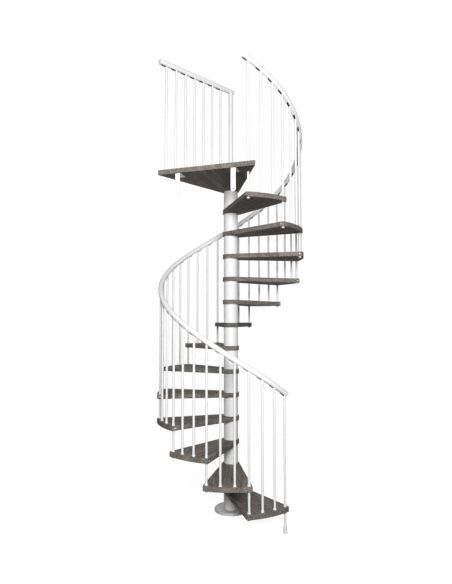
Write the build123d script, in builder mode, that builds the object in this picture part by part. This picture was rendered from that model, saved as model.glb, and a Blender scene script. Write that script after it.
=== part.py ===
from build123d import *
import math
import os

# Kit spiral staircase: thirteen wedge treads and a wedge landing threaded on a sleeved steel column.
# Millimetres, +Z up, origin at the centre of the base plate's underside.
# It climbs clockwise seen from above, and the landing's straight edge faces -Y.

# Rise and turn
rise = 220.0
tread_count = 13
tread_turn = 30.0
first_tread_angle = -45.0

# Column
pole_radius = 21.0
pole_wall = 4.0
sleeve_radius = 68.0
sleeve_wall = 4.0
bore_clearance = 0.3

# Base
plate_radius = 148.0
plate_thick = 8.0
plate_bolt_circle = 230.0
plate_bolt_radius = 6.5
plate_bolt_count = 4
cover_radius = 155.0
cover_rim_height = 24.0
cover_rim_round = 12.0
cover_rim_width = 30.0
cover_top_height = 21.0
cover_wall = 2.0

# Treads and landing
board_thick = 42.0
board_edge_round = 3.0
hub_radius = 78.0
tread_radius = 700.0
tread_half_angle = 17.1
tread_corner_radius = 14.0
landing_reach = 728.0
landing_half_angle = 31.0
landing_corner_radius = 6.0

# Balusters
baluster_radius = 10.0
baluster_edge_margin = 27.0
balusters_per_tread = 3
hole_clearance = 0.3
collar_radius = 14.5
collar_height = 16.0
collar_lip = 1.5
cap_radius = 14.0
cap_height = 12.0
cap_taper = 2.0
foot_height = 58.0
foot_rim_height = 5.0
foot_bottom_radius = 19.0
foot_top_radius = 13.5

# Handrails
rail_radius = 24.0
rail_flat_depth = 21.5
groove_width = 9.0
groove_depth = 4.0
rail_underside = 1140.0
rail_lower_overhang = 30.0
rail_upper_overhang = 49.0
rail_seat_gap = 0.3
rail_cap_thick = 7.0
rail_cap_round = 5.0
clip_length = 42.0
clip_width = 15.0
clip_thick = 5.0

# Landing railing
landing_rail_underside = 947.0
landing_rail_turn = 30.0
landing_rail_overhang = 5.0
landing_baluster_count = 7
landing_baluster_first = 136.0
landing_baluster_edge_margin = 68.5
post_collar_radius = 36.0
post_collar_height = 14.0

# Landing brackets
bracket_offset = 248.0
bracket_width = 42.0
bracket_thick = 5.0
bracket_bend_radius = 4.0
bracket_drop = 200.0
bracket_reach = 120.0
bracket_hole_radius = 5.5
bracket_upper_hole = 74.0
bracket_lower_hole = 179.0
bracket_screw_radius = 3.5
bracket_screw_spacing = 60.0

# What follows from the sizes above
full_turn = 360.0
baluster_circle = tread_radius - baluster_edge_margin
landing_half_width = landing_reach * math.tan(math.radians(landing_half_angle))
landing_level = rise * (tread_count + 1)
landing_underside = landing_level - board_thick
baluster_turn = tread_turn / balusters_per_tread
baluster_rise = rise / balusters_per_tread
first_baluster_angle = first_tread_angle + tread_turn / 2
last_baluster = balusters_per_tread * tread_count
rail_slope = math.atan2(baluster_rise, math.radians(baluster_turn) * baluster_circle)
landing_axis_angle = first_tread_angle - tread_turn * (tread_count - 1) - 1.5 * tread_turn
landing_rail_level = landing_level + landing_rail_underside + rail_flat_depth
landing_edge_distance = landing_reach / math.cos(math.radians(landing_rail_turn))
on_base = (Align.CENTER, Align.CENTER, Align.MIN)

os.makedirs("parts", exist_ok=True)


def save(builder, name):
    builder.part.label = name
    export_step(builder.part, "parts/" + name + ".step")


def on_circle(radius, angle, height=0.0):
    turn = math.radians(angle)
    return (radius * math.cos(turn), radius * math.sin(turn), height)


def plan_plane(angle, height):
    """A level plane at a height, turned so that its X points out at a plan angle."""
    return Plane(origin=(0, 0, height), x_dir=on_circle(1, angle), z_dir=(0, 0, 1))


def tread_angle(number):
    return first_tread_angle - tread_turn * (number - 1)


def baluster_angle(number):
    return first_baluster_angle - baluster_turn * number


def baluster_place(number):
    return on_circle(baluster_circle, baluster_angle(number))[:2]


def rail_underside_height(number):
    return rail_underside + baluster_rise * number


def rail_plane(number, lift=0.0):
    """The sloping plane of the rail's flat underside at a baluster, X pointing out from the column."""
    angle = baluster_angle(number)
    turn = math.radians(angle)
    level = rail_underside_height(number) + lift
    normal = (
        -math.sin(rail_slope) * math.sin(turn),
        math.sin(rail_slope) * math.cos(turn),
        math.cos(rail_slope),
    )
    return Plane(origin=on_circle(baluster_circle, angle, level), x_dir=on_circle(1, angle), z_dir=normal)


def tangent_point(reach, half_width, hub):
    """Where a side from the corner (reach, half_width) touches the round hub."""
    corner = math.hypot(reach, half_width)
    direction = math.atan2(half_width, reach) + math.acos(hub / corner)
    return (hub * math.cos(direction), hub * math.sin(direction))


def rail_section(plane, groove=groove_depth):
    """The handrail's section: a round bar with a flat underside, grooved but at its end caps."""
    with BuildSketch(plane) as section:
        Circle(rail_radius)
        with Locations((0, -rail_flat_depth)):
            Rectangle(3 * rail_radius, rail_radius, align=(Align.CENTER, Align.MAX), mode=Mode.SUBTRACT)
            if groove:
                Rectangle(groove_width, groove, align=(Align.CENTER, Align.MIN), mode=Mode.SUBTRACT)
    return section.sketch


# Base plate, bolted to the floor
with BuildPart() as base_plate:
    with BuildSketch():
        Circle(plate_radius)
        with PolarLocations(plate_bolt_circle / 2, plate_bolt_count, start_angle=45):
            Circle(plate_bolt_radius, mode=Mode.SUBTRACT)
    extrude(amount=plate_thick)
save(base_plate, "base_plate")

# Pressed cover over the base plate: a flat top, a raised round rim and a short skirt to the floor
cover_bore = sleeve_radius + bore_clearance
rim_centre = (cover_radius - cover_rim_round, cover_rim_height - cover_rim_round)
rim_foot = cover_radius - cover_rim_width
with BuildPart() as base_cover:
    with BuildSketch(Plane.XZ):
        with BuildLine():
            outer_rim = CenterArc(rim_centre, cover_rim_round, 0, 90)
            inner_rim = CenterArc(rim_centre, cover_rim_round - cover_wall, 0, 90)
            Line((cover_radius, 0), outer_rim @ 0)
            Polyline(outer_rim @ 1, (rim_foot, cover_top_height), (cover_bore, cover_top_height))
            Line((cover_bore, cover_top_height), (cover_bore, cover_top_height - cover_wall))
            Polyline((cover_bore, cover_top_height - cover_wall), (rim_foot, cover_top_height - cover_wall), inner_rim @ 1)
            Line(inner_rim @ 0, (cover_radius - cover_wall, 0))
            Line((cover_radius - cover_wall, 0), (cover_radius, 0))
        make_face()
    revolve(axis=Axis.Z)
save(base_cover, "base_cover")

# Steel pole through every tread, standing up past the landing as its railing's post
rail_direction = landing_axis_angle - landing_rail_turn
landing_rail_plane = Plane(
    origin=(0, 0, landing_rail_level),
    x_dir=on_circle(1, rail_direction + 90),
    z_dir=on_circle(1, rail_direction),
)
with BuildPart() as centre_pole:
    with BuildSketch(Plane.XY.offset(plate_thick)):
        Circle(pole_radius)
        Circle(pole_radius - pole_wall, mode=Mode.SUBTRACT)
    extrude(amount=landing_rail_level - plate_thick)
    with BuildSketch(landing_rail_plane):
        Circle(rail_radius + rail_seat_gap)
    extrude(amount=3 * pole_radius, both=True, mode=Mode.SUBTRACT)
save(centre_pole, "centre_pole")

# Spacer sleeves between the boards
with BuildPart() as column_sleeves:
    for level in range(tread_count + 1):
        foot = plate_thick if level == 0 else level * rise
        with BuildSketch(Plane.XY.offset(foot)):
            Circle(sleeve_radius)
            Circle(sleeve_radius - sleeve_wall, mode=Mode.SUBTRACT)
        extrude(amount=(level + 1) * rise - board_thick - foot)
save(column_sleeves, "column_sleeves")


def wedge_outline(reach, half_width, outer_radius):
    """The plan of a board: sides that run off the round hub to an arc, or to a straight edge if no arc."""
    touch = tangent_point(reach, half_width, hub_radius)
    Line((reach, half_width), touch)
    ThreePointArc(touch, (-hub_radius, 0), (touch[0], -touch[1]))
    Line((touch[0], -touch[1]), (reach, -half_width))
    if outer_radius:
        ThreePointArc((reach, -half_width), (outer_radius, 0), (reach, half_width))
    else:
        Line((reach, -half_width), (reach, half_width))


def board_holes(plan_angles, centre_angle):
    """The pole's bore and the holes for the balusters that pass through a board."""
    Circle(pole_radius + bore_clearance, mode=Mode.SUBTRACT)
    for angle in plan_angles:
        with Locations(on_circle(baluster_circle, angle - centre_angle)[:2]):
            Circle(baluster_radius + hole_clearance, mode=Mode.SUBTRACT)


def round_board_edges(board):
    """Rounds the outer edges of a board's top and underside."""
    faces = board.faces().filter_by(Plane.XY)
    fillet(faces[0].outer_wire().edges() + faces[-1].outer_wire().edges(), board_edge_round)


# Treads, each with an arc for its outer edge
tread_reach = tread_radius * math.cos(math.radians(tread_half_angle))
tread_half_width = tread_radius * math.sin(math.radians(tread_half_angle))
for number in range(1, tread_count + 1):
    angle = tread_angle(number)
    front_baluster = balusters_per_tread * (number - 1)
    rear_baluster = balusters_per_tread * number
    with BuildPart() as tread:
        with BuildSketch(plan_plane(angle, number * rise - board_thick)) as tread_plan:
            with BuildLine():
                wedge_outline(tread_reach, tread_half_width, tread_radius)
            make_face()
            fillet(tread_plan.vertices().sort_by_distance((0, 0, 0))[-2:], tread_corner_radius)
            board_holes([baluster_angle(front_baluster), baluster_angle(rear_baluster)], angle)
        extrude(amount=board_thick)
        round_board_edges(tread)
    save(tread, "tread_%02d" % number)

# Landing, a larger wedge with a straight edge against the floor opening
with BuildPart() as landing:
    with BuildSketch(plan_plane(landing_axis_angle, landing_underside)) as landing_plan:
        with BuildLine():
            wedge_outline(landing_reach, landing_half_width, 0)
        make_face()
        fillet(landing_plan.vertices().sort_by_distance((0, 0, 0))[-2:], landing_corner_radius)
        board_holes([baluster_angle(last_baluster)], landing_axis_angle)
    extrude(amount=board_thick)
    round_board_edges(landing)
save(landing, "landing")

# Brackets that bolt the landing to the edge of the upper floor
for side, name in ((-1, "landing_bracket_left"), (1, "landing_bracket_right")):
    across = side * bracket_offset
    with BuildPart() as bracket:
        with BuildSketch(Plane.XZ.offset(landing_reach - bracket_thick)):
            with Locations((across, landing_underside)):
                Rectangle(bracket_width, bracket_drop - bracket_width / 2, align=(Align.CENTER, Align.MAX))
            with Locations((across, landing_underside - bracket_drop + bracket_width / 2)):
                Circle(bracket_width / 2)
            with Locations(
                (across, landing_underside - bracket_upper_hole),
                (across, landing_underside - bracket_lower_hole),
            ):
                Circle(bracket_hole_radius, mode=Mode.SUBTRACT)
        extrude(amount=bracket_thick)
        with BuildSketch(Plane.XY.offset(landing_underside)):
            with Locations((across, -landing_reach)):
                Rectangle(bracket_width, bracket_reach, align=(Align.CENTER, Align.MIN))
            with Locations((across, -landing_reach + bracket_reach / 2)):
                with GridLocations(0, bracket_screw_spacing, 1, 2):
                    Circle(bracket_screw_radius, mode=Mode.SUBTRACT)
        extrude(amount=-bracket_thick)
        inner_corner = (across, bracket_thick - landing_reach, landing_underside - bracket_thick)
        outer_corner = (across, -landing_reach, landing_underside)
        fillet(bracket.edges().filter_by(Axis.X).sort_by_distance(inner_corner)[0], bracket_bend_radius)
        outer_bend = bracket.edges().filter_by(Axis.X).sort_by_distance(outer_corner)[0]
        fillet(outer_bend, bracket_bend_radius + bracket_thick)
    save(bracket, name)


def rod(place, bottom, height, radius):
    """A round upright at a place in plan, from its bottom level."""
    with Locations((*place, bottom)):
        Cylinder(radius, height, align=on_base)


def turned_ring(place, level, height, bottom_radius, top_radius, bore=0.0):
    """A tapered collar round a baluster, or a solid cap if it has no bore."""
    with Locations((*place, level)):
        Cone(bottom_radius, top_radius, height, align=on_base)
        if bore:
            Cylinder(bore, height, align=on_base, mode=Mode.SUBTRACT)


def baluster(number, bottom, collar_level=None):
    """One baluster: a rod cut to the rail's slope, with a collar where it stands on a board."""
    place = baluster_place(number)
    rod(place, bottom, rail_underside_height(number) + rail_radius - bottom, baluster_radius)
    with BuildSketch(rail_plane(number, -rail_seat_gap)) as waste:
        Rectangle(4 * baluster_radius, 10 * baluster_radius)
    extrude(waste.sketch, amount=3 * rail_radius, mode=Mode.SUBTRACT)
    if collar_level is not None:
        turned_ring(place, collar_level, collar_height, collar_radius, baluster_radius + collar_lip)


# Balusters in threes, one group standing on each tread, and the first one down to the floor
with BuildPart() as first_baluster:
    baluster(0, 0)
save(first_baluster, "baluster_first")
for number in range(1, tread_count + 1):
    with BuildPart() as balusters:
        for place in range(balusters_per_tread):
            count = balusters_per_tread * number - place
            through = board_thick if place == 0 else 0
            baluster(count, number * rise - through, number * rise)
    save(balusters, "balusters_%02d" % number)

# Bell-shaped floor socket under the first baluster
sliding_bore = baluster_radius + hole_clearance
foot_place = baluster_place(0)
foot_waist = (foot_top_radius + foot_bottom_radius) / 2
with BuildPart() as floor_socket:
    with BuildSketch(Plane(origin=(*foot_place, 0), x_dir=(1, 0, 0), z_dir=(0, -1, 0))):
        with BuildLine():
            Polyline((sliding_bore, foot_height), (sliding_bore, 0), (foot_bottom_radius, 0), (foot_bottom_radius, foot_rim_height))
            Spline(
                (foot_bottom_radius, foot_rim_height),
                (foot_waist, foot_height / 3),
                (foot_top_radius, foot_height),
                tangents=[(-1, 1), (0, 1)],
            )
            Line((foot_top_radius, foot_height), (sliding_bore, foot_height))
        make_face()
    revolve(axis=Axis((*foot_place, 0), (0, 0, 1)))
save(floor_socket, "floor_socket")

# Collars where a baluster passes down through the front corner of the board above its own
with BuildPart() as corner_collars:
    for number in range(tread_count + 1):
        place = baluster_place(balusters_per_tread * number)
        level = (number + 1) * rise
        turned_ring(place, level, collar_height, collar_radius, baluster_radius + collar_lip, sliding_bore)
save(corner_collars, "corner_collars")

# Caps under the rear corner of each tread, on the ends of the balusters that pass through
with BuildPart() as corner_caps:
    for number in range(1, tread_count + 1):
        level = number * rise - board_thick - cap_height
        place = baluster_place(balusters_per_tread * number)
        turned_ring(place, level, cap_height, cap_radius - cap_taper, cap_radius)
save(corner_caps, "corner_caps")

# Handrail, a round bar with a flat underside that climbs along the balusters
rail_axis_lift = rail_flat_depth / math.cos(rail_slope)
turn_per_length = math.degrees(1 / baluster_circle) * math.cos(rail_slope)
lower_turn = (rail_lower_overhang - rail_cap_thick) * turn_per_length
upper_turn = (rail_upper_overhang - rail_cap_thick) * turn_per_length
rail_turn = last_baluster * baluster_turn + lower_turn + upper_turn
rise_per_degree = baluster_rise / baluster_turn
rail_start_angle = first_baluster_angle + lower_turn
rail_start_level = rail_underside + rail_axis_lift - lower_turn * rise_per_degree
with BuildPart() as handrail:
    with BuildLine() as rail_path:
        climb = Helix(
            full_turn * rise_per_degree,
            rail_turn * rise_per_degree,
            baluster_circle,
            center=(0, 0, rail_start_level),
            lefthand=True,
            mode=Mode.PRIVATE,
        )
        add(climb.rotate(Axis.Z, rail_start_angle))
    rail_start = rail_path.line @ 0
    start_direction = rail_path.line % 0
    section = rail_section(Plane(origin=rail_start, x_dir=on_circle(1, rail_start_angle), z_dir=start_direction))
    sweep(section, path=rail_path.line, is_frenet=True)
save(handrail, "handrail")

# Joint clips in the groove, on the uphill side of each baluster's top
with BuildPart() as handrail_clips:
    for number in range(last_baluster + 1):
        plane = rail_plane(number, -rail_seat_gap)
        with BuildSketch(plane):
            with Locations((0, -baluster_radius / math.cos(rail_slope) - hole_clearance)):
                Rectangle(clip_width, clip_length, align=(Align.CENTER, Align.MAX))
        extrude(amount=-clip_thick)
save(handrail_clips, "handrail_clips")

# Landing handrail, from the post to just past the landing's straight edge
landing_rail_end = landing_edge_distance + landing_rail_overhang - rail_cap_thick
with BuildPart() as landing_handrail:
    extrude(rail_section(landing_rail_plane.offset(-rail_radius)), amount=landing_rail_end + rail_radius)
save(landing_handrail, "landing_handrail")



def rail_cap(part, plane):
    """A rounded cap on the end of a rail, where the plane's Z points out of the rail."""
    extrude(rail_section(plane, groove=0), amount=rail_cap_thick)
    end_face = part.faces().sort_by_distance(plane.origin + plane.z_dir * rail_cap_thick)[0]
    fillet(end_face.edges(), rail_cap_round)


# Rounded end caps on both rails
upper_end_angle = rail_start_angle - rail_turn
with BuildPart() as handrail_caps:
    rail_cap(
        handrail_caps,
        Plane(origin=rail_start, x_dir=on_circle(-1, rail_start_angle), z_dir=-start_direction),
    )
    rail_cap(
        handrail_caps,
        Plane(origin=rail_path.line @ 1, x_dir=on_circle(1, upper_end_angle), z_dir=rail_path.line % 1),
    )
save(handrail_caps, "handrail_caps")

with BuildPart() as landing_handrail_caps:
    rail_cap(landing_handrail_caps, landing_rail_plane.offset(landing_rail_end))
    rail_cap(
        landing_handrail_caps,
        Plane(
            origin=on_circle(-rail_radius, rail_direction, landing_rail_level),
            x_dir=on_circle(-1, rail_direction + 90),
            z_dir=on_circle(-1, rail_direction),
        ),
    )
save(landing_handrail_caps, "landing_handrail_caps")

last_landing_baluster = landing_edge_distance - landing_baluster_edge_margin
landing_baluster_pitch = (last_landing_baluster - landing_baluster_first) / (landing_baluster_count - 1)
landing_baluster_places = [
    landing_baluster_first + landing_baluster_pitch * place for place in range(landing_baluster_count)
]
with BuildPart() as landing_balusters:
    for distance in landing_baluster_places:
        place = on_circle(distance, rail_direction)[:2]
        rod(place, landing_level, landing_rail_underside, baluster_radius)
        turned_ring(place, landing_level, collar_height, collar_radius, baluster_radius + collar_lip)
save(landing_balusters, "landing_balusters")

with BuildPart() as landing_clips:
    for distance in landing_baluster_places:
        with BuildSketch(plan_plane(rail_direction, landing_level + landing_rail_underside)):
            with Locations((distance + baluster_radius + hole_clearance, 0)):
                Rectangle(clip_length, clip_width, align=(Align.MIN, Align.CENTER))
        extrude(amount=-clip_thick)
save(landing_clips, "landing_clips")

# Collar that clamps the landing down round the post
with BuildPart() as post_collar:
    with BuildSketch(Plane.XY.offset(landing_level)):
        Circle(post_collar_radius)
        Circle(pole_radius + bore_clearance, mode=Mode.SUBTRACT)
    extrude(amount=post_collar_height)
save(post_collar, "post_collar")
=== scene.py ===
"""Kit spiral staircase: oiled wood boards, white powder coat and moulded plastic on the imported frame."""
import math

import bmesh
import bpy
from mathutils import Matrix, Vector


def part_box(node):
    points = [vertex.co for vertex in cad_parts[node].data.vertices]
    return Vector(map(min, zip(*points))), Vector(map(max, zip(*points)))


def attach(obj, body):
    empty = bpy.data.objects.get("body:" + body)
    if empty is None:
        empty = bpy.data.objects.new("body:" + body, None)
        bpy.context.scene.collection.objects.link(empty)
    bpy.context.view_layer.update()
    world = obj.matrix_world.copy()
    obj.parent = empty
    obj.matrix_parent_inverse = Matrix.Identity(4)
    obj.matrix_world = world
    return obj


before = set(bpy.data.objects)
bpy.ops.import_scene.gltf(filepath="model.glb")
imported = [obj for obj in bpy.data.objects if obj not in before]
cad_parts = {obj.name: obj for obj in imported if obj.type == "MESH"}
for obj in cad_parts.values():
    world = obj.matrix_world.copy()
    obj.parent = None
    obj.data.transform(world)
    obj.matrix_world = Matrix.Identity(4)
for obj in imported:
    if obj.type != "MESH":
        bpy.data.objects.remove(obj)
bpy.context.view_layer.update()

# The stair's plan, in degrees and metres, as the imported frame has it
TREAD_COUNT = 13
TREAD_TURN = 30.0
FIRST_TREAD_ANGLE = -45.0
BALUSTERS_PER_TREAD = 3
BALUSTER_CIRCLE = 0.673
LANDING_ANGLE = -90.0
TREAD_HALF_ANGLE = 17.1
LANDING_HALF_ANGLE = 31.0
HUB_RADIUS = 0.078
TREAD_RADIUS = 0.700

# The photograph's view of it: a pinhole camera fitted to the balusters, hubs and board edges
CAMERA_DISTANCE = 4.618
CAMERA_PLAN_ANGLE = -72.609
CAMERA_HEIGHT = 1.775
CAMERA_PITCH = 3.503
CAMERA_PAN = 17.975
CAMERA_LENS = 29.41


def on_circle(radius, angle, height=0.0):
    """The point at a plan angle round the column."""
    turn = math.radians(angle)
    return Vector((radius * math.cos(turn), radius * math.sin(turn), height))


def tread_angle(number):
    """A tread's plan angle; the first is number 1."""
    return FIRST_TREAD_ANGLE - TREAD_TURN * (number - 1)


def baluster_angle(number):
    """A baluster's plan angle, counted up from 0 at the foot."""
    return FIRST_TREAD_ANGLE + TREAD_TURN / 2 - TREAD_TURN / BALUSTERS_PER_TREAD * number


class Tree:
    """Short calls that add nodes to one node tree and link them."""

    def __init__(self, tree):
        self.tree = tree

    def node(self, kind, **settings):
        node = self.tree.nodes.new(kind)
        for name, value in settings.items():
            setattr(node, name, value)
        return node

    def feed(self, socket, value):
        if isinstance(value, bpy.types.NodeSocket):
            self.tree.links.new(value, socket)
        elif value is not None:
            socket.default_value = value

    def math(self, operation, *values):
        node = self.node("ShaderNodeMath", operation=operation)
        for socket, value in zip(node.inputs, values):
            self.feed(socket, value)
        return node.outputs[0]

    def vector_math(self, operation, *values):
        node = self.node("ShaderNodeVectorMath", operation=operation)
        for socket, value in zip(node.inputs, values):
            self.feed(socket, value)
        return node.outputs[1 if operation == "LENGTH" else 0]

    def noise(self, vector, scale, detail=2.0, roughness=0.5, distortion=0.0):
        node = self.node("ShaderNodeTexNoise")
        self.feed(node.inputs["Vector"], vector)
        self.feed(node.inputs["Scale"], scale)
        self.feed(node.inputs["Detail"], detail)
        self.feed(node.inputs["Roughness"], roughness)
        self.feed(node.inputs["Distortion"], distortion)
        return node.outputs["Fac"]

    def remap(self, value, low, high, to_low=0.0, to_high=1.0):
        node = self.node("ShaderNodeMapRange")
        for socket, part in zip(node.inputs, (value, low, high, to_low, to_high)):
            self.feed(socket, part)
        return node.outputs["Result"]

    def mix(self, factor, first, second, blend_type="MIX"):
        node = self.node("ShaderNodeMix", data_type="RGBA", blend_type=blend_type)
        self.feed(node.inputs[0], factor)
        self.feed(node.inputs[6], first)
        self.feed(node.inputs[7], second)
        return node.outputs[2]


def shader_group(name, inputs, outputs):
    """An empty shader node group with these named sockets, and its Tree, input node and output node."""
    group = bpy.data.node_groups.new(name, "ShaderNodeTree")
    kinds = {"float": "NodeSocketFloat", "colour": "NodeSocketColor", "vector": "NodeSocketVector"}
    for socket, kind in inputs:
        group.interface.new_socket(socket, in_out="INPUT", socket_type=kinds[kind])
    for socket, kind in outputs:
        group.interface.new_socket(socket, in_out="OUTPUT", socket_type=kinds[kind])
    tree = Tree(group)
    return group, tree, tree.node("NodeGroupInput").outputs, tree.node("NodeGroupOutput").inputs


def oiled_stave_group():
    """Edge-glued hardwood staves under dark oil: streaks, flecks, pores and fine glue lines."""
    group, tree, given, made = shader_group(
        "oiled_staves",
        [
            ("Vector", "vector"),
            ("Ground", "colour"),
            ("Streak", "colour"),
            ("Stave Width", "float"),
            ("Seed", "float"),
        ],
        [("Color", "colour"), ("Roughness", "float"), ("Height", "float")],
    )
    across = tree.node("ShaderNodeSeparateXYZ")
    tree.feed(across.inputs[0], given["Vector"])
    stave = tree.math("ADD", tree.math("DIVIDE", across.outputs[1], given["Stave Width"]), given["Seed"])
    stave_number = tree.math("FLOOR", stave)
    in_stave = tree.math("FRACT", stave)
    lot = tree.node("ShaderNodeTexWhiteNoise", noise_dimensions="1D")
    tree.feed(lot.inputs["W"], tree.math("MULTIPLY_ADD", given["Seed"], 7.13, stave_number))
    moved = tree.vector_math("ADD", given["Vector"], lot.outputs["Color"])

    def stretched(along, sideways):
        return tree.vector_math("MULTIPLY", moved, (along, sideways, sideways))

    streaks = tree.noise(stretched(2.2, 62.0), 1.0, detail=6.0, roughness=0.62, distortion=0.5)
    broad = tree.noise(stretched(1.1, 9.0), 1.0, detail=2.0)
    fibres = tree.noise(stretched(14.0, 520.0), 1.0, detail=3.0, roughness=0.6)
    flecks = tree.noise(stretched(48.0, 150.0), 1.0, detail=3.0, roughness=0.7)
    pores = tree.remap(tree.noise(stretched(55.0, 900.0), 1.0, detail=1.0), 0.62, 0.74)
    edge = tree.math("ABSOLUTE", tree.math("SUBTRACT", in_stave, 0.5))
    glue_line = tree.remap(edge, 0.488, 0.499)

    shade = tree.math("MULTIPLY_ADD", tree.remap(streaks, 0.32, 0.68), 0.5, tree.math("MULTIPLY", broad, 0.3))
    shade = tree.math("MULTIPLY_ADD", lot.outputs["Value"], 0.25, shade)
    shade = tree.math("MULTIPLY_ADD", tree.remap(flecks, 0.45, 0.64), 0.58, shade)
    shade = tree.math("ADD", tree.remap(fibres, 0.3, 0.7, -0.32, 0.12), shade)
    colour = tree.mix(shade, given["Ground"], given["Streak"])
    dark = tree.math("MAXIMUM", tree.math("MULTIPLY", pores, 0.45), tree.math("MULTIPLY", glue_line, 0.5))
    colour = tree.mix(dark, colour, given["Streak"], blend_type="MULTIPLY")
    tree.feed(made["Color"], colour)
    tree.feed(made["Roughness"], tree.remap(streaks, 0.3, 0.7, 0.55, 0.7))
    relief = tree.math("SUBTRACT", tree.math("MULTIPLY", fibres, 0.5), tree.math("MULTIPLY", dark, 1.2))
    tree.feed(made["Height"], relief)
    return group


def orange_peel_group():
    """The fine skin of powder coat or moulded plastic, with a slight mottle in its tone and gloss."""
    group, tree, given, made = shader_group(
        "orange_peel",
        [
            ("Vector", "vector"),
            ("Paint", "colour"),
            ("Shade", "colour"),
            ("Grain", "float"),
            ("Gloss", "float"),
            ("Mottle", "float"),
        ],
        [("Color", "colour"), ("Roughness", "float"), ("Height", "float")],
    )
    peel = tree.noise(given["Vector"], given["Grain"], detail=2.0, roughness=0.55)
    cloud = tree.noise(given["Vector"], 7.0, detail=4.0, roughness=0.6)
    handling = tree.remap(cloud, 0.35, 0.75)
    mottled = tree.math("MULTIPLY", handling, given["Mottle"])
    tree.feed(made["Color"], tree.mix(mottled, given["Paint"], given["Shade"]))
    tree.feed(made["Roughness"], tree.math("MULTIPLY_ADD", handling, 0.1, given["Gloss"]))
    tree.feed(made["Height"], peel)
    return group


OILED_STAVES = oiled_stave_group()
ORANGE_PEEL = orange_peel_group()


def surface_material(name, group, values, relief, depth, turn=None, **shader_values):
    """A Principled material whose colour, roughness and bump come from one placed group."""
    material = bpy.data.materials.new(name)
    material.use_nodes = True
    material.node_tree.nodes.clear()
    tree = Tree(material.node_tree)
    output = tree.node("ShaderNodeOutputMaterial")
    shader = tree.node("ShaderNodeBsdfPrincipled")
    tree.feed(output.inputs["Surface"], shader.outputs["BSDF"])
    for socket, value in shader_values.items():
        shader.inputs[socket.replace("_", " ")].default_value = value
    place = tree.node("ShaderNodeTexCoord").outputs["Object"]
    if turn is not None:
        mapping = tree.node("ShaderNodeMapping")
        mapping.inputs["Rotation"].default_value = (0, 0, math.radians(-turn))
        tree.feed(mapping.inputs["Vector"], place)
        place = mapping.outputs["Vector"]
    skin = tree.node("ShaderNodeGroup", node_tree=group)
    tree.feed(skin.inputs["Vector"], place)
    for socket, value in values.items():
        skin.inputs[socket].default_value = value
    tree.feed(shader.inputs["Base Color"], skin.outputs["Color"])
    tree.feed(shader.inputs["Roughness"], skin.outputs["Roughness"])
    bump = tree.node("ShaderNodeBump")
    bump.inputs["Strength"].default_value = relief
    bump.inputs["Distance"].default_value = depth
    tree.feed(bump.inputs["Height"], skin.outputs["Height"])
    tree.feed(shader.inputs["Normal"], bump.outputs["Normal"])
    return material


# Tones of the boards' wood, as light and dark grain; the darkest one is painted shade
GREY_BROWN = ((0.345, 0.318, 0.290), (0.095, 0.080, 0.069))
RED_BROWN = ((0.368, 0.322, 0.292), (0.100, 0.077, 0.066))
GREY_GREEN = ((0.320, 0.308, 0.284), (0.092, 0.084, 0.074))
# A darker copy of the grey-brown wood: painted shade for board 8, which stands behind the column
PAINTED_SHADE_BROWN = ((0.225, 0.216, 0.202), (0.062, 0.057, 0.051))
TREAD_TONES = [
    GREY_BROWN,
    RED_BROWN,
    GREY_BROWN,
    GREY_GREEN,
    GREY_BROWN,
    GREY_GREEN,
    GREY_BROWN,
    # Board 8 gets the darker wood as painted shade
    PAINTED_SHADE_BROWN,
    GREY_BROWN,
    GREY_GREEN,
    RED_BROWN,
    GREY_BROWN,
    RED_BROWN,
]


def board_material(name, angle, tone, seed):
    """Dark oiled hardwood whose staves run out along a board that points at a plan angle."""
    light, dark = tone
    values = {
        "Ground": (*light, 1),
        "Streak": (*dark, 1),
        "Stave Width": 0.052,
        "Seed": seed,
    }
    return surface_material(
        name, OILED_STAVES, values, relief=0.5, depth=0.0004, turn=angle, Specular_IOR_Level=0.06
    )


def skin_material(name, paint, shade, *, grain, gloss, mottle, relief, depth, **shader_values):
    values = {"Paint": (*paint, 1), "Shade": (*shade, 1), "Grain": grain, "Gloss": gloss, "Mottle": mottle}
    return surface_material(name, ORANGE_PEEL, values, relief, depth, **shader_values)


white_steel = skin_material(
    "white_powder_coat",
    (0.84, 0.84, 0.84),
    (0.80, 0.80, 0.795),
    grain=420.0,
    gloss=0.38,
    mottle=0.35,
    relief=0.25,
    depth=0.00025,
    Specular_IOR_Level=0.3,
)
# The base cover's coat is a darker copy of the white powder coat: painted shade at the stair's foot
cover_white_painted_shade = skin_material(
    "cover_coat_painted_shade",
    (0.66, 0.66, 0.66),
    (0.60, 0.60, 0.59),
    grain=380.0,
    gloss=0.42,
    mottle=0.5,
    relief=0.3,
    depth=0.0003,
    Specular_IOR_Level=0.25,
)
plate_steel = skin_material(
    "primed_plate",
    (0.42, 0.42, 0.41),
    (0.30, 0.30, 0.29),
    grain=600.0,
    gloss=0.55,
    mottle=0.6,
    relief=0.3,
    depth=0.0003,
)
rail_white = skin_material(
    "extruded_rail",
    (0.90, 0.90, 0.90),
    (0.88, 0.88, 0.875),
    grain=900.0,
    gloss=0.36,
    mottle=0.3,
    relief=0.12,
    depth=0.0002,
)
white_plastic = skin_material(
    "white_moulding",
    (0.79, 0.79, 0.78),
    (0.74, 0.74, 0.73),
    grain=700.0,
    gloss=0.42,
    mottle=0.3,
    relief=0.2,
    depth=0.0002,
)
black_plastic = skin_material(
    "black_moulding",
    (0.025, 0.025, 0.026),
    (0.045, 0.045, 0.045),
    grain=800.0,
    gloss=0.5,
    mottle=0.5,
    relief=0.3,
    depth=0.0002,
)
zinc_screw = skin_material(
    "zinc_plating",
    (0.62, 0.62, 0.60),
    (0.48, 0.48, 0.47),
    grain=900.0,
    gloss=0.3,
    mottle=0.6,
    relief=0.2,
    depth=0.0001,
    Metallic=1.0,
)


def dress(node_name, material):
    """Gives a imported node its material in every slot."""
    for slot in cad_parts[node_name].material_slots:
        slot.material = material


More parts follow.
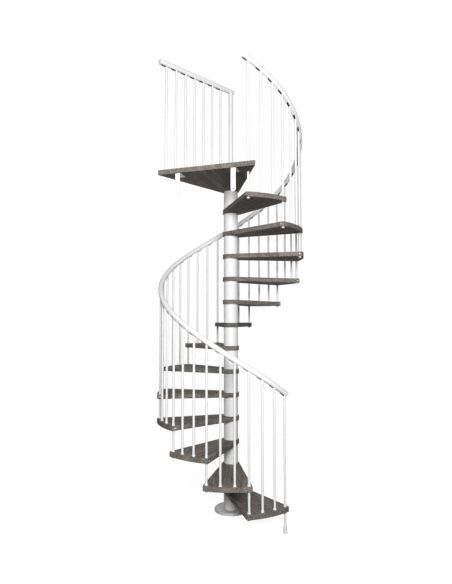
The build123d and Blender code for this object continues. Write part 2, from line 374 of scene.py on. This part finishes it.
def dress_boards():
    """Each board gets its own wood, turned to run along it."""
    for number, tone in enumerate(TREAD_TONES, 1):
        name = "tread_%02d" % number
        dress(name, board_material(name + "_wood", tread_angle(number), tone, 0.37 + 1.618 * number))
    dress("landing", board_material("landing_wood", LANDING_ANGLE, GREY_BROWN, 0.21))


def dress_fittings():
    """The steel, the rails and the mouldings."""
    looks = {
        white_steel: ["column_sleeves", "centre_pole", "landing_bracket_left", "landing_bracket_right"]
        + ["post_collar", "baluster_first", "landing_balusters"]
        + ["balusters_%02d" % number for number in range(1, TREAD_COUNT + 1)],
        # The base cover's darker coat is painted shade
        cover_white_painted_shade: ["base_cover"],
        plate_steel: ["base_plate"],
        rail_white: ["handrail", "landing_handrail", "handrail_caps", "landing_handrail_caps"],
        white_plastic: ["corner_collars", "corner_caps", "floor_socket"],
        black_plastic: ["handrail_clips", "landing_clips"],
    }
    for material, names in looks.items():
        for name in names:
            dress(name, material)


def finished_piece(name, mesh_builder, material):
    """Turns a bmesh into a smooth-shaded piece that rides on the frame."""
    mesh = bpy.data.meshes.new(name)
    mesh_builder.to_mesh(mesh)
    mesh_builder.free()
    mesh.materials.append(material)
    for polygon in mesh.polygons:
        polygon.use_smooth = True
    mesh.set_sharp_from_angle(angle=math.radians(35))
    piece = bpy.data.objects.new(name, mesh)
    bpy.context.scene.collection.objects.link(piece)
    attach(piece, "root")
    return piece


def add_turned(builder, profile, place, axis, steps=32):
    """Spins a profile of (radius, height) points round an axis through a place."""
    up = Vector(axis).normalized()
    side = up.orthogonal().normalized()
    forward = up.cross(side)
    rings = []
    for radius, height in profile:
        centre = Vector(place) + up * height
        if radius == 0:
            rings.append([builder.verts.new(centre)])
            continue
        ring = []
        for step in range(steps):
            turn = 2 * math.pi * step / steps
            outward = side * math.cos(turn) + forward * math.sin(turn)
            ring.append(builder.verts.new(centre + outward * radius))
        rings.append(ring)
    for lower, upper in zip(rings, rings[1:]):
        for step in range(steps):
            after = (step + 1) % steps
            if len(lower) == 1:
                builder.faces.new((lower[0], upper[step], upper[after]))
            elif len(upper) == 1:
                builder.faces.new((lower[step], upper[0], lower[after]))
            else:
                builder.faces.new((lower[step], upper[step], upper[after], lower[after]))


# Plugs over the clamping screws in the boards' side faces
PLUG_RADIUS = 0.0065
PLUG_PROUD = 0.0012
PLUG_SUNK = 0.003
PLUG_PROFILE = [
    (PLUG_RADIUS, -PLUG_SUNK),
    (PLUG_RADIUS, PLUG_PROUD * 0.4),
    (PLUG_RADIUS * 0.86, PLUG_PROUD * 0.85),
    (PLUG_RADIUS * 0.5, PLUG_PROUD),
    (0, PLUG_PROUD),
]


def nearest_on_side(axis_angle, half_angle, corner_distance, side, place):
    """The point of a board's straight side that is nearest to a baluster, and the side's outward normal."""
    half_width = corner_distance * math.sin(math.radians(half_angle))
    corner_reach = corner_distance * math.cos(math.radians(half_angle))
    touch_turn = math.atan2(half_width, corner_reach) + math.acos(HUB_RADIUS / corner_distance)
    touch = Vector((HUB_RADIUS * math.cos(touch_turn), HUB_RADIUS * math.sin(touch_turn)))
    run = (Vector((corner_reach, half_width)) - touch).normalized()
    spin = Matrix.Rotation(math.radians(axis_angle), 2)
    start = spin @ Vector((touch.x, touch.y * side))
    normal = spin @ Vector((-run.y, run.x * side))
    place = Vector((place.x, place.y))
    return place - normal * (place - start).dot(normal), normal


def edge_plugs():
    """Two plugs a tread and one on the landing, beside the balusters that pass through."""
    builder = bmesh.new()

    def add_plug(board, axis_angle, half_angle, corner_distance, side, angle):
        low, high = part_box(board)
        place = on_circle(BALUSTER_CIRCLE, angle)
        point, normal = nearest_on_side(axis_angle, half_angle, corner_distance, side, place)
        middle = (low.z + high.z) / 2
        add_turned(builder, PLUG_PROFILE, (point.x, point.y, middle), (normal.x, normal.y, 0))

    for number in range(1, TREAD_COUNT + 1):
        for side, shared in ((-1, number), (1, number - 1)):
            angle = baluster_angle(BALUSTERS_PER_TREAD * shared)
            add_plug(
                "tread_%02d" % number, tread_angle(number), TREAD_HALF_ANGLE, TREAD_RADIUS, side, angle
            )
    low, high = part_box("landing")
    corner_distance = -low.y / math.cos(math.radians(LANDING_HALF_ANGLE))
    angle = baluster_angle(BALUSTERS_PER_TREAD * TREAD_COUNT)
    add_plug("landing", LANDING_ANGLE, LANDING_HALF_ANGLE, corner_distance, 1, angle)
    return finished_piece("edge_plugs", builder, white_plastic)


# Countersunk screws up through the brackets' top legs
SCREW_RADIUS = 0.0055
SCREW_HEIGHT = 0.0022
SCREW_SPACING = 0.060
BRACKET_THICK = 0.005
SCREW_PROFILE = [
    (SCREW_RADIUS * 0.62, -0.004),
    (SCREW_RADIUS, 0.0),
    (SCREW_RADIUS * 0.93, SCREW_HEIGHT * 0.55),
    (SCREW_RADIUS * 0.62, SCREW_HEIGHT),
    (SCREW_RADIUS * 0.40, SCREW_HEIGHT),
    (SCREW_RADIUS * 0.34, SCREW_HEIGHT * 0.3),
    (0, SCREW_HEIGHT * 0.2),
]


def bracket_screws():
    """Two screws in each bracket's top leg, heads down."""
    builder = bmesh.new()
    for name in ("landing_bracket_left", "landing_bracket_right"):
        low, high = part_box(name)
        centre = (low + high) / 2
        for side in (-1, 1):
            place = (centre.x, centre.y + side * SCREW_SPACING / 2, high.z - BRACKET_THICK)
            add_turned(builder, SCREW_PROFILE, place, (0, 0, -1), steps=24)
    return finished_piece("bracket_screws", builder, zinc_screw)


# Grub screw that clamps the post collar
GRUB_ANGLE = 40.0
GRUB_PROFILE = [
    (0.0040, -0.0010),
    (0.0040, 0.0006),
    (0.0034, 0.0010),
    (0.0022, 0.0010),
    (0.0020, -0.0012),
    (0, -0.0014),
]


def collar_screw():
    """One grub screw in the post collar's rim."""
    builder = bmesh.new()
    low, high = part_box("post_collar")
    place = on_circle(high.x, GRUB_ANGLE, (low.z + high.z) / 2)
    add_turned(builder, GRUB_PROFILE, place, on_circle(1, GRUB_ANGLE), steps=20)
    return finished_piece("collar_screw", builder, zinc_screw)


dress_boards()
dress_fittings()
edge_plugs()
bracket_screws()
collar_screw()


# Studio: a pale floor and sky, a soft key light by the camera and a weaker one from behind
FLOOR_HALF_SIZE = 60.0
FLOOR_DROP = 0.0005
FLOOR_BOUNCE = (0.10, 0.10, 0.10, 1)
FLOOR_NEAR = (0.3, 0.3, 0.3, 1)
FLOOR_FAR = (0.0, 0.0, 0.0, 1)
FLOOR_NEAR_LIFT = 0.88
FLOOR_FAR_LIFT = 1.0
SHADOW_REACH = 1.2
WHITE_REACH = 3.0
SKY_FILL = 0.04
KEY_DISTANCE = 5.4
KEY_HEIGHT = 3.0
KEY_SIDEWAYS = 2.0
KEY_AIM = (0, 0, 1.8)
KEY_SIZE = 1.8
KEY_WATTS = 335.0
BACK_DISTANCE = 6.0
BACK_HEIGHT = 2.0
BACK_AIM = (0, 0, 1.9)
BACK_SIZE = 2.5
BACK_WATTS = 200.0


def seen_as_background(tree):
    """1 for the rays that show the background: the camera's, and those through gloss and glass."""
    path = tree.node("ShaderNodeLightPath")
    seen = tree.math("MAXIMUM", path.outputs["Is Camera Ray"], path.outputs["Is Glossy Ray"])
    return tree.math("MAXIMUM", seen, path.outputs["Is Transmission Ray"])


def studio_floor():
    """A plain pale floor that keeps a faint shadow near the stair and is white further out."""
    mesh = bpy.data.meshes.new("studio_floor")
    size = FLOOR_HALF_SIZE
    corners = [(-size, -size, 0), (size, -size, 0), (size, size, 0), (-size, size, 0)]
    mesh.from_pydata(corners, [], [(0, 1, 2, 3)])
    floor = bpy.data.objects.new("studio_floor", mesh)
    bpy.context.scene.collection.objects.link(floor)
    floor.location.z = -FLOOR_DROP
    material = bpy.data.materials.new("studio_floor")
    material.use_nodes = True
    material.node_tree.nodes.clear()
    tree = Tree(material.node_tree)
    output = tree.node("ShaderNodeOutputMaterial")
    bounce = tree.node("ShaderNodeBsdfDiffuse")
    bounce.inputs["Color"].default_value = FLOOR_BOUNCE
    place = tree.node("ShaderNodeTexCoord").outputs["Object"]
    away = tree.remap(tree.vector_math("LENGTH", place), SHADOW_REACH, WHITE_REACH)
    shown = tree.node("ShaderNodeBsdfDiffuse")
    tree.feed(shown.inputs["Color"], tree.mix(away, FLOOR_NEAR, FLOOR_FAR))
    lift = tree.node("ShaderNodeEmission")
    tree.feed(lift.inputs["Strength"], tree.remap(away, 0.0, 1.0, FLOOR_NEAR_LIFT, FLOOR_FAR_LIFT))
    sum_shader = tree.node("ShaderNodeAddShader")
    tree.feed(sum_shader.inputs[0], shown.outputs[0])
    tree.feed(sum_shader.inputs[1], lift.outputs[0])
    mixed = tree.node("ShaderNodeMixShader")
    tree.feed(mixed.inputs["Fac"], seen_as_background(tree))
    tree.feed(mixed.inputs[1], bounce.outputs[0])
    tree.feed(mixed.inputs[2], sum_shader.outputs[0])
    tree.feed(output.inputs["Surface"], mixed.outputs[0])
    mesh.materials.append(material)


def studio_sky():
    """A weak even fill on the stair, white where the camera or a gloss sees it."""
    world = bpy.data.worlds.new("studio_sky")
    bpy.context.scene.world = world
    world.use_nodes = True
    world.node_tree.nodes.clear()
    tree = Tree(world.node_tree)
    output = tree.node("ShaderNodeOutputWorld")
    soft = tree.node("ShaderNodeBackground")
    soft.inputs["Color"].default_value = (1, 1, 1, 1)
    soft.inputs["Strength"].default_value = SKY_FILL
    white = tree.node("ShaderNodeBackground")
    white.inputs["Color"].default_value = (1, 1, 1, 1)
    mixed = tree.node("ShaderNodeMixShader")
    tree.feed(mixed.inputs["Fac"], seen_as_background(tree))
    tree.feed(mixed.inputs[1], soft.outputs[0])
    tree.feed(mixed.inputs[2], white.outputs[0])
    tree.feed(output.inputs["Surface"], mixed.outputs[0])


def soft_box(name, place, target, size, watts):
    """A square area lamp that points at a target and isn't seen itself."""
    lamp = bpy.data.lights.new(name, "AREA")
    lamp.size = size
    lamp.energy = watts
    light = bpy.data.objects.new(name, lamp)
    bpy.context.scene.collection.objects.link(light)
    light.location = place
    light.rotation_euler = (Vector(target) - Vector(place)).to_track_quat("-Z", "Y").to_euler()
    light.visible_camera = False
    return light


def studio_lights():
    """The key by the camera, and a back light that leaves no glare on the boards."""
    key_place = on_circle(KEY_DISTANCE, CAMERA_PLAN_ANGLE + KEY_SIDEWAYS, KEY_HEIGHT)
    soft_box("key_light", key_place, KEY_AIM, KEY_SIZE, KEY_WATTS)
    back_place = on_circle(BACK_DISTANCE, CAMERA_PLAN_ANGLE + 180, BACK_HEIGHT)
    back = soft_box("back_light", back_place, BACK_AIM, BACK_SIZE, BACK_WATTS)
    back.visible_glossy = False


def photograph_camera():
    """The photograph's view."""
    data = bpy.data.cameras.new("camera")
    data.lens = CAMERA_LENS
    camera = bpy.data.objects.new("camera", data)
    bpy.context.scene.collection.objects.link(camera)
    camera.location = on_circle(CAMERA_DISTANCE, CAMERA_PLAN_ANGLE, CAMERA_HEIGHT)
    camera.rotation_euler = (math.radians(90 + CAMERA_PITCH), 0, math.radians(CAMERA_PAN))
    bpy.context.scene.camera = camera


studio_floor()
studio_sky()
studio_lights()
photograph_camera()
bpy.context.scene.view_settings.view_transform = "Standard"
